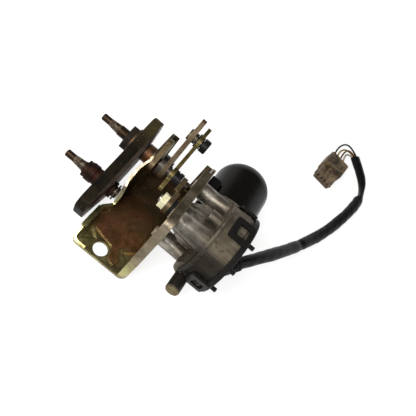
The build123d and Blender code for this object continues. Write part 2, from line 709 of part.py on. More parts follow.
def worm_wheel():
    x0 = WORM_X - WHEEL_T / 2
    tooth = 1.1
    blank = along_x(WHEEL_R, x0, x0 + WHEEL_T, GEAR_Y, GEAR_Z)
    step = 360 / WHEEL_TEETH
    gaps = []
    for index in range(WHEEL_TEETH):
        y, z = polar(0, 0, WHEEL_R, index * step)
        gaps.append(Pos(y, z) * Rot(0, 0, index * step) * Rectangle(2 * tooth, 1.7))
    cut = extrude(facing_x(x0, GEAR_Y, GEAR_Z) * Sketch(gaps), amount=WHEEL_T)
    hub = along_x(SHAFT_D / 2 + 5, CHAMBER_X + CLEAR, x0 + WHEEL_T + 3, GEAR_Y, GEAR_Z)
    recess = ring_x(WHEEL_R - 5, SHAFT_D / 2 + 5, x0 + WHEEL_T - 2.5, x0 + WHEEL_T + 1, GEAR_Y, GEAR_Z)
    return blank - cut - recess + hub - along_x(SHAFT_D / 2 + SEAT, x0 - 5, x0 + WHEEL_T + 5, GEAR_Y, GEAR_Z)


def park_ring():
    """Slotted contact ring on the wheel that stops the wiper at park."""
    x0 = WORM_X + WHEEL_T / 2
    ring = ring_x(WHEEL_R - 1.5, WHEEL_R - 5, x0, x0 + 0.8, GEAR_Y, GEAR_Z)
    y, z = polar(GEAR_Y, GEAR_Z, WHEEL_R - 3, 70)
    return ring - along_x(3.4, x0 - 1, x0 + 2, y, z)


# ---------------------------------------------------------------- gearbox
def leg(angle):
    """A round leg that spreads along the drum's rim towards its foot."""
    y, z = polar(GEAR_Y, GEAR_Z, LEG_R, angle)
    top = facing_x(BRACKET_RIGHT, y, z, angle) * Ellipse(LEG_D / 2, LEG_D / 2 + 0.01)
    middle = facing_x(BRACKET_RIGHT + 12, y, z, angle) * Ellipse(LEG_D / 2 - 0.2, LEG_D / 2 + 0.3)
    foot = facing_x(DRUM_LEFT + 1, y, z, angle) * Ellipse(LEG_FOOT_W / 2, LEG_FOOT_L / 2)
    return loft([top, middle, foot])


def drum():
    """The round wheel case, slightly drafted, with a raised band at its left edge."""
    length = DRUM_RIGHT - DRUM_LEFT
    body = Cone(DRUM_R - 0.8, DRUM_R, length, align=STANDING)
    body = Pos(DRUM_LEFT, GEAR_Y, GEAR_Z) * Rot(0, 90, 0) * body
    band = along_x(DRUM_R + DRUM_RIM_H, DRUM_LEFT, DRUM_LEFT + DRUM_RIM_T, GEAR_Y, GEAR_Z)
    return body + fillet(band.edges(), 0.9)


def stub():
    """A short blind spigot on the drum's face."""
    y, z = polar(GEAR_Y, GEAR_Z, STUB_R - STUB_D / 4, STUB_ANGLE)
    return along_x(STUB_D / 2, DRUM_LEFT - STUB_L, DRUM_LEFT + 1, y, z)


def shoulder():
    """The block that squares the drum off against the motor's flange."""
    top = WORM_Z + CAN_D / 2
    reach = CAN_FACE_Y - GEAR_Y - DRUM_R / 2
    block = Box(DRUM_RIGHT - WORM_X, reach, CAN_D / 2, align=(Align.MIN, Align.MAX, Align.MAX))
    return Pos(WORM_X, CAN_FACE_Y, top) * fillet(block.edges().filter_by(Axis.Y).group_by(Axis.Z)[-1], 4.0)


def gear_housing():
    body = drum() + stub()
    neck_l = DRUM_LEFT - BRACKET_RIGHT + 1
    neck = Cone(NECK_FOOT_D / 2, NECK_D / 2, neck_l, align=STANDING)
    body += Pos(DRUM_LEFT + 1, GEAR_Y, GEAR_Z) * Rot(0, -90, 0) * neck
    for angle in LEG_ANGLES:
        body += leg(angle)
    body += along_y(WORM_TUBE_D / 2, WORM_TUBE_FRONT + BOSS_L, CAN_FLANGE_Y, WORM_X, WORM_Z)
    body += along_y(BOSS_D / 2, WORM_TUBE_FRONT, WORM_TUBE_FRONT + BOSS_L + 1, WORM_X, WORM_Z)
    body += along_y(CAN_D / 2, CAN_FLANGE_Y, CAN_FACE_Y, WORM_X, WORM_Z)
    body += shoulder()
    for angle in LEG_ANGLES:
        body += rib(angle + 50) + rib(angle - 50)
    # the gear chamber, open towards the cover
    body -= along_x(DRUM_R - DRUM_WALL, CHAMBER_X, DRUM_RIGHT + 1, GEAR_Y, GEAR_Z)
    # nothing of the shoulder stands under the cover's skirt
    skirt_room = DRUM_R + 0.4 + COVER_WALL + CLEAR
    body -= ring_x(skirt_room, DRUM_R + 0.01, COVER_X - COVER_SKIRT - CLEAR, DRUM_RIGHT + 1, GEAR_Y, GEAR_Z)
    for angle in CLIP_ANGLES:
        body += latch_ramp(angle)
    # the worm's tunnel
    body -= along_y(WORM_R + 1.6, WORM_TUBE_FRONT - 1, CAN_FACE_Y + 1, WORM_X, WORM_Z)
    body -= along_y(BEARING_R + SEAT, CAN_FLANGE_Y - 3, CAN_FACE_Y + 1, WORM_X, WORM_Z)
    body -= along_x(SHAFT_D / 2 + 2, BRACKET_RIGHT - 1, DRUM_LEFT + 5, GEAR_Y, GEAR_Z)
    for angle in LEG_ANGLES:
        y, z = polar(GEAR_Y, GEAR_Z, LEG_R, angle)
        body -= along_x(BOLT_D / 2 + SEAT, BRACKET_RIGHT - 1, BRACKET_RIGHT + 16, y, z)
    for x in can_screw_places():
        body -= along_y(1.9 + SEAT, CAN_FLANGE_Y - 1, CAN_FACE_Y + 1, x, WORM_Z)
    return body


def rib(angle):
    """A straight stiffening rib from the neck to the drum's face."""
    turn = math.radians(angle)
    frame = Plane(origin=(0, GEAR_Y, GEAR_Z), x_dir=(1, 0, 0), z_dir=(0, math.sin(turn), -math.cos(turn)))
    start, end = BRACKET_RIGHT + 2, DRUM_LEFT + 2
    points = [(start, 6), (start, NECK_D / 2 + 2), (end, DRUM_R - 5), (end, 6)]
    face = make_face(Polyline(*points, close=True))
    return extrude(frame * face, amount=1.8, both=True)


def output_bush():
    return ring_x(SHAFT_D / 2 + 2 - SEAT, SHAFT_D / 2 + RUNNING, BRACKET_RIGHT + 1, CHAMBER_X, GEAR_Y, GEAR_Z)


def shaft_seal():
    """Ribbed rubber seal between the crank and the flange."""
    start = CRANK_HUB_X + CRANK_T + CLEAR
    end = BRACKET_RIGHT
    ring = ring_x(9.0, SHAFT_D / 2 + 0.35, start, end, GEAR_Y, GEAR_Z)
    for index in range(3):
        x = start + 1.6 + 2.4 * index
        ring -= ring_x(10, 8.2, x, x + 1.0, GEAR_Y, GEAR_Z)
    return ring


def mounting_bolts():
    bolts = []
    for angle in LEG_ANGLES:
        y, z = polar(GEAR_Y, GEAR_Z, LEG_R, angle)
        washer_x = MOTOR_FLANGE_IN_X - BOLT_WASHER_T
        head = mirror(hex_x(BOLT_AF, -washer_x, -washer_x + BOLT_HEAD_H, y, z, angle), about=Plane.YZ)
        washer = along_x(BOLT_AF / 2 + BOLT_WASHER_RIM, washer_x, MOTOR_FLANGE_IN_X, y, z)
        shank = along_x(BOLT_D / 2, MOTOR_FLANGE_IN_X, BRACKET_RIGHT + 14, y, z)
        bolts.append(head + washer + shank)
    return Compound(bolts)


def on_drum(shape, angle):
    """Turn a shape drawn above the drum (X along the axis, Z outward) to its place round the drum."""
    return Pos(0, GEAR_Y, GEAR_Z) * Rot(angle - 90, 0, 0) * shape


def clip(angle):
    """A window clip that reaches back from the cover's rim over the drum."""
    length = CLIP_REACH - COVER_T
    window = RectangleRounded(length - CLIP_BAR - COVER_SKIRT, CLIP_W - 2 * CLIP_BAR, 1.2)
    loop = RectangleRounded(length, CLIP_W, 2.5) - Pos((CLIP_BAR - COVER_SKIRT) / 2, 0) * window
    body = extrude(loop, amount=CLIP_T)
    return on_drum(Pos(COVER_X - length / 2, 0, DRUM_R + 0.6) * body, angle)


def latch_ramp(angle):
    """The cast wedge on the drum that a cover clip snaps over."""
    run = CLIP_REACH - COVER_T - CLIP_BAR - COVER_SKIRT - 5
    points = [(0, -2), (run, -2), (run, RAMP_H), (0, 0.3)]
    width = CLIP_W - 2 * CLIP_BAR - 2
    wedge = extrude(Plane.XZ * make_face(Polyline(*points, close=True)), amount=width / 2, both=True)
    return on_drum(Pos(COVER_FACE_X - CLIP_REACH + CLIP_BAR + 1.2, 0, DRUM_R) * wedge, angle)


def gear_cover():
    outer = DRUM_R + 0.4 + COVER_WALL
    disc = along_x(outer, COVER_X, COVER_FACE_X, GEAR_Y, GEAR_Z)
    disc = fillet(disc.edges().sort_by(Axis.X)[-1], 2.0)
    body = disc + ring_x(outer, DRUM_R + 0.4, COVER_X - COVER_SKIRT, COVER_X, GEAR_Y, GEAR_Z)
    for angle in CLIP_ANGLES:
        body += clip(angle)
    for angle in PEG_ANGLES:
        y, z = polar(GEAR_Y, GEAR_Z, DRUM_R - 1.5, angle)
        body += along_x(PEG_D / 2, COVER_FACE_X - 1, COVER_FACE_X + PEG_L, y, z)
    base = boot_base()
    return body - along_x(BOOT_HOLE_D / 2 + SEAT, COVER_X - 1, COVER_FACE_X + 1, base.Y, base.Z)


# ---------------------------------------------------------------- motor
def motor_can():
    """Deep-drawn can with a broad rounded end and a pocket for the rear bush."""
    outer = along_y(CAN_D / 2, CAN_FACE_Y, CAN_END_Y, WORM_X, WORM_Z)
    outer = fillet(outer.edges().sort_by(Axis.Y)[-1], CAN_DOME)
    inner_dome = CAN_DOME - 4
    inner = along_y(CAN_D / 2 - CAN_WALL, CAN_FACE_Y - 1, CAN_STRAIGHT_Y + inner_dome, WORM_X, WORM_Z)
    inner = fillet(inner.edges().sort_by(Axis.Y)[-1], inner_dome)
    pocket = along_y(6.5, CAN_FACE_Y, CAN_END_Y - CAN_WALL, WORM_X, WORM_Z)
    return outer - inner - pocket


def terminal_block():
    """Black moulded block on the can's left side, next to its flange."""
    x = BRACKET_RIGHT + TERMINAL_GAP
    y = CAN_FACE_Y + 1.5
    z = WORM_Z + CAN_D / 2 - TERMINAL_DROP
    width = WORM_X - CAN_D / 2 + TERMINAL_FOOT - x
    block = Pos(x, y, z) * Box(width, TERMINAL_L, TERMINAL_H, align=Align.MIN)
    block = fillet(block.edges().filter_by(Axis.Y), 1.5)
    return block - along_y(CAN_D / 2 + SEAT, y - 1, y + TERMINAL_L + 1, WORM_X, WORM_Z)


def magnets():
    """Two ferrite shells in the straight part of the can."""
    end = CAN_STRAIGHT_Y - CLEAR
    outer = CAN_D / 2 - CAN_WALL - SEAT
    ring = ring_y(outer, outer - MAGNET_T, end - MAGNET_L, end, WORM_X, WORM_Z)
    slot = Pos(WORM_X, end - MAGNET_L / 2, WORM_Z) * Box(14, MAGNET_L + 10, CAN_D)
    return ring - slot


def armature_shaft():
    shaft = along_y(ARMATURE_SHAFT_D / 2, WORM_TUBE_FRONT + 5, CAN_END_Y - CAN_WALL - 1, WORM_X, WORM_Z)
    worm = along_y(WORM_R, GEAR_Y - 15, GEAR_Y + 15, WORM_X, WORM_Z)
    return shaft + worm


def core_start():
    """The core is centred on the magnets."""
    return CAN_STRAIGHT_Y - CLEAR - (MAGNET_L + CORE_L) / 2


def armature_core():
    start = core_start()
    slots = []
    for index in range(10):
        x, y = polar(0, 0, CORE_D / 2 - 3, index * 36)
        slots.append(Pos(x, y) * Rot(0, 0, index * 36) * Rectangle(7, 2.2))
    plane = Plane(origin=(WORM_X, start, WORM_Z), x_dir=(1, 0, 0), z_dir=(0, 1, 0))
    core = extrude(plane * (Circle(CORE_D / 2) - Sketch(slots)), amount=CORE_L)
    return core - along_y(ARMATURE_SHAFT_D / 2 + SEAT, start - 1, start + CORE_L + 1, WORM_X, WORM_Z)


def commutator():
    start = CAN_FACE_Y + 4
    plane = Plane(origin=(WORM_X, start, WORM_Z), x_dir=(1, 0, 0), z_dir=(0, 1, 0))
    gaps = []
    for index in range(10):
        x, y = polar(0, 0, COMMUTATOR_R, index * 36)
        gaps.append(Pos(x, y) * Rot(0, 0, index * 36) * Rectangle(2.0, 0.8))
    body = extrude(plane * (Circle(COMMUTATOR_R) - Sketch(gaps)), amount=COMMUTATOR_L)
    return body - along_y(ARMATURE_SHAFT_D / 2 + SEAT, start - 1, start + 10, WORM_X, WORM_Z)


def windings():
    start = core_start()
    ends = []
    back = start + CORE_L
    for low, high in ((start - WINDING_L, start - 0.1), (back + 0.1, back + WINDING_L)):
        ends.append(ring_y(CORE_D / 2 - 1.5, ARMATURE_SHAFT_D / 2 + 1.5, low, high, WORM_X, WORM_Z))
    return Compound(ends)


def brush_plate():
    start = CAN_FACE_Y + 1
    return ring_y(CAN_D / 2 - CAN_WALL - SEAT, COMMUTATOR_R + 1.5, start, start + 2.5, WORM_X, WORM_Z)


def brushes():
    """Two carbon brushes lying on the brush plate, just off the commutator."""
    start = CAN_FACE_Y + 3.5
    pair = []
    for side in (-1, 1):
        x = WORM_X + side * (COMMUTATOR_R + CLEAR)
        align = Align.MIN if side > 0 else Align.MAX
        pair.append(Pos(x, start, WORM_Z) * Box(BRUSH_L, 6, 5, align=(align, Align.MIN, Align.CENTER)))
    return Compound(pair)


def front_bearing():
    start = CAN_FLANGE_Y - 3
    return ring_y(BEARING_R, ARMATURE_SHAFT_D / 2 + RUNNING, start, start + 7, WORM_X, WORM_Z)


def rear_bush():
    end = CAN_END_Y - CAN_WALL
    return ring_y(6.5 - SEAT, ARMATURE_SHAFT_D / 2 + RUNNING, end - 7, end, WORM_X, WORM_Z)


def boss_plug():
    """Brass thrust plug in the boss, with a screwdriver slot."""
    head = along_y(BOSS_D / 2 - 0.5, WORM_TUBE_FRONT - 1.4, WORM_TUBE_FRONT, WORM_X, WORM_Z)
    stem = along_y(WORM_R + 1.6 - SEAT, WORM_TUBE_FRONT, WORM_TUBE_FRONT + 5 - CLEAR, WORM_X, WORM_Z)
    slot = Pos(WORM_X, WORM_TUBE_FRONT - 1.4, WORM_Z) * Box(BOSS_D, 1.4, 1.4)
    return head + stem - slot


def can_screw_places():
    return [WORM_X + side * (CAN_D / 2 - 4.5) for side in (-1, 1)]


def can_screws():
    screws = []
    for x in can_screw_places():
        head = along_y(3.5, CAN_FLANGE_Y - 2.6, CAN_FLANGE_Y, x, WORM_Z)
        shank = along_y(1.9, CAN_FLANGE_Y, CAN_FACE_Y, x, WORM_Z)
        screws.append(head + shank)
    return Compound(screws)


def cover_seal():
    """Rubber ring between the drum's rim and the cover."""
    return ring_x(DRUM_R - 0.4, DRUM_R - DRUM_WALL + 0.4, DRUM_RIGHT, DRUM_RIGHT + SEAL_T, GEAR_Y, GEAR_Z)


def park_contacts():
    """Sprung fingers under the cover that ride the park ring."""
    fingers = []
    for offset_y in (-4, 0, 4):
        finger = Box(COVER_X - PARK_X - CLEAR, 2, 1, align=(Align.MIN, Align.CENTER, Align.CENTER))
        fingers.append(Pos(PARK_X + CLEAR, GEAR_Y + offset_y, GEAR_Z - WHEEL_R + 3.5) * finger)
    return Compound(fingers)


# ---------------------------------------------------------------- lead
def lead_heading():
    start, second = Vector(*LEAD_ROUTE[0]), Vector(*LEAD_ROUTE[1])
    return (second - start).normalized()


def boot_base():
    """Where the boot's axis meets the cover's outer face."""
    start, heading = Vector(*LEAD_ROUTE[0]), lead_heading()
    return start - heading * ((start.X - COVER_FACE_X) / heading.X)


def lead_boot():
    """Rubber boot: a flange on the cover, a grommet through its hole and a slanted tapering sleeve."""
    base, tip = boot_base(), Vector(*LEAD_ROUTE[0])
    heading = lead_heading()
    x = COVER_FACE_X
    flange = along_x(BOOT_FLANGE_D / 2, x, x + BOOT_FLANGE_T, base.Y, base.Z)
    flange = fillet(flange.edges().sort_by(Axis.X)[-1], 1.0)
    grommet = along_x(BOOT_HOLE_D / 2, COVER_X, x, base.Y, base.Z)
    cone_frame = Plane(origin=tip, z_dir=-heading)
    mouth, root = LEAD_D / 2 + BOOT_TIP_WALL, LEAD_D / 2 + BOOT_TIP_WALL + 1.2
    cone = Cone(mouth, root, BOOT_L + 8, align=STANDING)
    keep = Pos(x, base.Y, base.Z) * Box(90, 90, 90, align=(Align.MIN, Align.CENTER, Align.CENTER))
    body = (cone_frame * cone) & keep
    for index in range(3):
        back = tip - heading * (4 + 4.5 * index)
        groove = Circle(BOOT_FLANGE_D) - Circle(LEAD_D / 2 + 0.9)
        body -= extrude(Plane(origin=back, z_dir=-heading) * groove, amount=1.6)
    return flange + grommet + body


def cord_path(points):
    """Straight runs joined by the largest arcs that their lengths allow."""
    places = [Vector(*point) for point in points]
    radii = []
    for before, corner, after in zip(places, places[1:], places[2:]):
        first, second = corner - before, after - corner
        half_turn = math.radians(first.get_angle(second) / 2)
        radii.append(0.45 * min(first.length, second.length) / math.tan(half_turn))
    print("cord radii", [round(radius, 1) for radius in radii])
    return FilletPolyline(*places, radius=radii)


def tube(points, diameter):
    path = cord_path(points)
    start = Plane(origin=path @ 0, z_dir=path % 0)
    body = sweep(start * Circle(diameter / 2), path=path)
    fill = body.volume / (path.length * math.pi * diameter**2 / 4)
    print("cord length", round(path.length, 1), "fill", round(fill, 4))
    return body


def lead_sleeve():
    return tube(LEAD_ROUTE, LEAD_D)


def connector():
    """Four-way plug housing: a wide body, a narrower nose with terminal slots and a latch arm on top."""
    body = Pos(0, NOSE_L / 2, 0) * Box(CONNECTOR_W, CONNECTOR_L, CONNECTOR_H, align=STANDING)
    body = chamfer(body.edges().filter_by(Axis.Y), 2.0)
    nose = Pos(0, -CONNECTOR_L / 2, 1) * Box(NOSE_W, NOSE_L, NOSE_H, align=STANDING)
    nose = chamfer(nose.edges().filter_by(Axis.Y), 1.5)
    body = body + nose
    length = CONNECTOR_L + NOSE_L
    for side in (-1, 1):
        rail = Pos(side * NOSE_W / 2, -CONNECTOR_L / 2, 6) * Box(3, NOSE_L - 4, 2.5)
        body += rail
    arm = Pos(0, -length / 2 + 14, NOSE_H + 1) * Box(9, 22, 2.4, align=STANDING)
    body += fillet(arm.edges().filter_by(Axis.Z), 1.0)
    for index in range(4):
        x = (index - 1.5) * NOSE_W / 4.5
        body -= Pos(x, -length / 2, 9) * Box(2.6, 6, 5)
    groove = Pos(0, length / 2 - 8, CONNECTOR_H) * Box(CONNECTOR_W, 2.4, 2)
    body -= groove
    return Pos(CONNECTOR_X, CONNECTOR_Y, 0) * Rot(0, 0, CONNECTOR_TURN) * body


# ---------------------------------------------------------------- every piece, by node
PIECES = {
    "bracket": bracket,
    "spindle_bar": spindle_bar,
    "bar_plate": bar_plate,
    "drive_sleeve": sleeve,
    "drive_bushes": sleeve_bushes,
    "drive_spindle": drive_spindle,
    "spindle_nut": spindle_nut,
    "spindle_washer": spindle_washer,
    "sleeve_plate": sleeve_plate,
    "idler_collar": idler_collar,
    "idler_bush": idler_bush,
    "idler_spindle": idler_spindle,
    "idler_clip": idler_clip,
    "lever": lever,
    "lever_hub": lever_hub,
    "lever_pin": lever_pin,
    "lever_pin_cap": lever_pin_cap,
    "link_rod": link_rod,
    "rod_bush": rod_bush,
    "crank_pin": rod_pin,
    "crank_pin_bush": rod_pin_bush,
    "crank_arm": crank_arm,
    "crank_nut": crank_nut,
    "crank_end_nut": pin_nut,
    "output_shaft": output_shaft,
    "worm_wheel": worm_wheel,
    "park_ring": park_ring,
    "output_bush": output_bush,
    "shaft_seal": shaft_seal,
    "gear_housing": gear_housing,
    "mounting_bolts": mounting_bolts,
    "gear_cover": gear_cover,
    "cover_seal": cover_seal,
    "park_contacts": park_contacts,
    "boss_plug": boss_plug,
    "front_bearing": front_bearing,
    "can_screws": can_screws,
    "motor_can": motor_can,
    "terminal_block": terminal_block,
    "field_magnets": magnets,
    "brush_plate": brush_plate,
    "brushes": brushes,
    "rear_bush": rear_bush,
    "armature_shaft": armature_shaft,
    "armature_core": armature_core,
    "windings": windings,
    "commutator": commutator,
    "lead_boot": lead_boot,
    "lead_sleeve": lead_sleeve,
    "connector": connector,
}

for node, make in PIECES.items():
    save(node, make())
for colour, points in WIRE_ROUTES.items():
    save(f"wire_{colour}", tube(points, WIRE_D))
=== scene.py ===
"""Looks, light and camera of the wiper motor assembly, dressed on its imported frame."""

import math

import bmesh
import bpy
from mathutils import Matrix, Vector


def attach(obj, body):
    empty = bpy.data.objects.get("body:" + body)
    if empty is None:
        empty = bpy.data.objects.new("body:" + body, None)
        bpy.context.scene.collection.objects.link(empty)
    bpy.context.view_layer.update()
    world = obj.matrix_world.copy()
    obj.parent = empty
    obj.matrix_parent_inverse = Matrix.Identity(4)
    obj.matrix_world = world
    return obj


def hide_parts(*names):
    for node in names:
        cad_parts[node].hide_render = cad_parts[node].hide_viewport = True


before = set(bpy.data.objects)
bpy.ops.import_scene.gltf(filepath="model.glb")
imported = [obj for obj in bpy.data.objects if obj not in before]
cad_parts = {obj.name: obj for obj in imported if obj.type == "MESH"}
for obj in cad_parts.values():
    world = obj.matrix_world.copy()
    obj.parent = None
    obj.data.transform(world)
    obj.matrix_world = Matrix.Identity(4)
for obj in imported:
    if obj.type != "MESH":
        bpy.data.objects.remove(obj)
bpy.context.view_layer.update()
MM = 0.001

# ---------------------------------------------------------------- camera
CAMERA_PLACE = Vector((0.01, -321.25, 434.9)) * MM
CAMERA_AIM = Vector((48.1, 24.5, 30.0)) * MM
CAMERA_ROLL = math.radians(-46.2)
IMAGE_SIZE = 416
FOCAL_PIXELS = 480.0
SENSOR = 36.0


def make_camera():
    data = bpy.data.cameras.new("camera")
    data.sensor_width = SENSOR
    data.lens = SENSOR * FOCAL_PIXELS / IMAGE_SIZE
    data.clip_start = 0.01
    camera = bpy.data.objects.new("camera", data)
    view = (CAMERA_AIM - CAMERA_PLACE).normalized()
    level = view.cross(Vector((0, 0, 1))).normalized()
    upright = level.cross(view)
    up = upright * math.cos(CAMERA_ROLL) + level * math.sin(CAMERA_ROLL)
    right = view.cross(up)
    camera.matrix_world = Matrix.Translation(CAMERA_PLACE) @ Matrix((right, up, -view)).transposed().to_4x4()
    bpy.context.scene.collection.objects.link(camera)
    bpy.context.scene.camera = camera


make_camera()

# ---------------------------------------------------------------- materials


def eased(tree, value, low, high, to_low, to_high):
    """A smooth step from to_low to to_high while the value goes from low to high."""
    node = tree.nodes.new("ShaderNodeMapRange")
    node.interpolation_type = "SMOOTHSTEP"
    tree.links.new(value, node.inputs["Value"])
    for name, number in zip(("From Min", "From Max", "To Min", "To Max"), (low, high, to_low, to_high)):
        node.inputs[name].default_value = number
    return node.outputs["Result"]


class Finish:
    """One procedural material under construction, with short names for its nodes."""

    def __init__(self, name, seed=0.0):
        self.material = bpy.data.materials.new(name)
        self.material.use_nodes = True
        self.tree = self.material.node_tree
        self.tree.nodes.clear()
        self.output = self.tree.nodes.new("ShaderNodeOutputMaterial")
        self.shader = self.tree.nodes.new("ShaderNodeBsdfPrincipled")
        self.tree.links.new(self.shader.outputs["BSDF"], self.output.inputs["Surface"])
        self.place = self.tree.nodes.new("ShaderNodeTexCoord").outputs["Object"]
        self.seed = seed

    def link(self, value, socket):
        if isinstance(value, bpy.types.NodeSocket):
            self.tree.links.new(value, socket)
        elif socket.type == "RGBA":
            socket.default_value = (*value, 1.0)
        else:
            socket.default_value = value

    def noise(self, scale, detail=4.0, roughness=0.6, distortion=0.0, stretch=(1, 1, 1)):
        mapping = self.tree.nodes.new("ShaderNodeMapping")
        mapping.inputs["Scale"].default_value = stretch
        mapping.inputs["Location"].default_value = (self.seed, 1.7 * self.seed, 0.3 * self.seed)
        self.tree.links.new(self.place, mapping.inputs["Vector"])
        node = self.tree.nodes.new("ShaderNodeTexNoise")
        self.tree.links.new(mapping.outputs["Vector"], node.inputs["Vector"])
        node.inputs["Scale"].default_value = scale
        node.inputs["Detail"].default_value = detail
        node.inputs["Roughness"].default_value = roughness
        node.inputs["Distortion"].default_value = distortion
        return node.outputs["Fac"]

    def facing_up(self):
        """1 where the surface lies flat and faces up, 0 where it is steep."""
        coordinates = self.tree.nodes.new("ShaderNodeTexCoord")
        node = self.tree.nodes.new("ShaderNodeSeparateXYZ")
        self.tree.links.new(coordinates.outputs["Normal"], node.inputs["Vector"])
        return self.span(node.outputs["Z"], 0.6, 0.9)

    def span(self, value, low, high, to_low=0.0, to_high=1.0):
        return eased(self.tree, value, low, high, to_low, to_high)

    def combine(self, operation, first, second):
        node = self.tree.nodes.new("ShaderNodeMath")
        node.operation = operation
        node.use_clamp = True
        self.link(first, node.inputs[0])
        self.link(second, node.inputs[1])
        return node.outputs["Value"]

    def times(self, first, second):
        return self.combine("MULTIPLY", first, second)

    def plus(self, first, second):
        return self.combine("ADD", first, second)

    def larger(self, first, second):
        return self.combine("MAXIMUM", first, second)

    def blend(self, share, first, second):
        node = self.tree.nodes.new("ShaderNodeMix")
        node.data_type = "RGBA"
        self.link(share, node.inputs["Factor"])
        colours = [socket for socket in node.inputs if socket.type == "RGBA"]
        self.link(first, colours[0])
        self.link(second, colours[1])
        return next(socket for socket in node.outputs if socket.type == "RGBA")

    def ramp(self, value, *stops):
        node = self.tree.nodes.new("ShaderNodeValToRGB")
        self.link(value, node.inputs["Fac"])
        elements = node.color_ramp.elements
        while len(elements) < len(stops):
            elements.new(0.5)
        for element, (position, colour) in zip(elements, stops):
            element.position = position
            element.color = (*colour, 1.0)
        return node.outputs["Color"]

    def softened(self, radius_mm):
        """The surface's normal with its edges rounded off."""
        bevel = self.tree.nodes.new("ShaderNodeBevel")
        bevel.samples = 4
        bevel.inputs["Radius"].default_value = radius_mm * MM
        return bevel.outputs["Normal"]

    def edges(self, radius_mm):
        """1 along the edges, 0 on the flats."""
        geometry = self.tree.nodes.new("ShaderNodeNewGeometry")
        product = self.tree.nodes.new("ShaderNodeVectorMath")
        product.operation = "DOT_PRODUCT"
        self.tree.links.new(self.softened(radius_mm), product.inputs[0])
        self.tree.links.new(geometry.outputs["Normal"], product.inputs[1])
        return self.span(product.outputs["Value"], 0.995, 0.93)

    def zone(self, axis, start_mm, end_mm, least=0.0, most=1.0):
        """A share that grows from least to most between two places along an axis."""
        node = self.tree.nodes.new("ShaderNodeSeparateXYZ")
        self.tree.links.new(self.place, node.inputs["Vector"])
        return self.span(node.outputs[axis], start_mm * MM, end_mm * MM, least, most)

    def patches(self, scale, low, high, least=0.0, most=1.0, detail=5, **noise):
        """Soft patches: least where the noise is under low, most where it is over high."""
        return self.span(self.noise(scale, detail, **noise), low, high, least, most)

    def mottle(self, scale, first, second, low=0.35, high=0.65, detail=5):
        """Two colours lying in patches."""
        return self.blend(self.patches(scale, low, high, detail=detail), first, second)

    def gloss(self, scale, low, high, roughness=0.6):
        """Roughness that drifts between two values."""
        return self.patches(scale, 0.3, 0.7, low, high, detail=6, roughness=roughness)

    def close(self, colour, roughness, metallic, height, depth_mm, soft_mm=0.35, strength=1.0):
        """Joins everything to the shader, with the height as bumps on softened edges."""
        self.link(colour, self.shader.inputs["Base Color"])
        self.link(roughness, self.shader.inputs["Roughness"])
        self.link(metallic, self.shader.inputs["Metallic"])
        bump = self.tree.nodes.new("ShaderNodeBump")
        bump.inputs["Strength"].default_value = strength
        bump.inputs["Distance"].default_value = depth_mm * MM
        self.link(height, bump.inputs["Height"])
        self.tree.links.new(self.softened(soft_mm), bump.inputs["Normal"])
        self.tree.links.new(bump.outputs["Normal"], self.shader.inputs["Normal"])
        return self.material


def worn_metal(name, base, patch, grime, edge, seed=0.0, metallic=0.9, rough=(0.3, 0.55), scale=55.0,
               grime_share=0.45):
    """Metal whose colour drifts in patches, dirty in places and bright where its edges are rubbed."""
    finish = Finish(name, seed)
    colour = finish.mottle(scale, base, patch)
    clean = 1.0 - grime_share
    dirt = finish.patches(scale * 2.6, clean, clean + 0.12, detail=8, roughness=0.7, distortion=0.4)
    colour = finish.blend(dirt, colour, grime)
    rub = finish.times(finish.edges(0.7), finish.patches(scale * 6, 0.3, 0.6, most=0.8))
    colour = finish.blend(rub, colour, edge)
    roughness = finish.plus(finish.gloss(scale * 4, *rough), finish.times(dirt, 0.25))
    return finish.close(colour, roughness, metallic, finish.noise(900, 5, 0.7), 0.04)


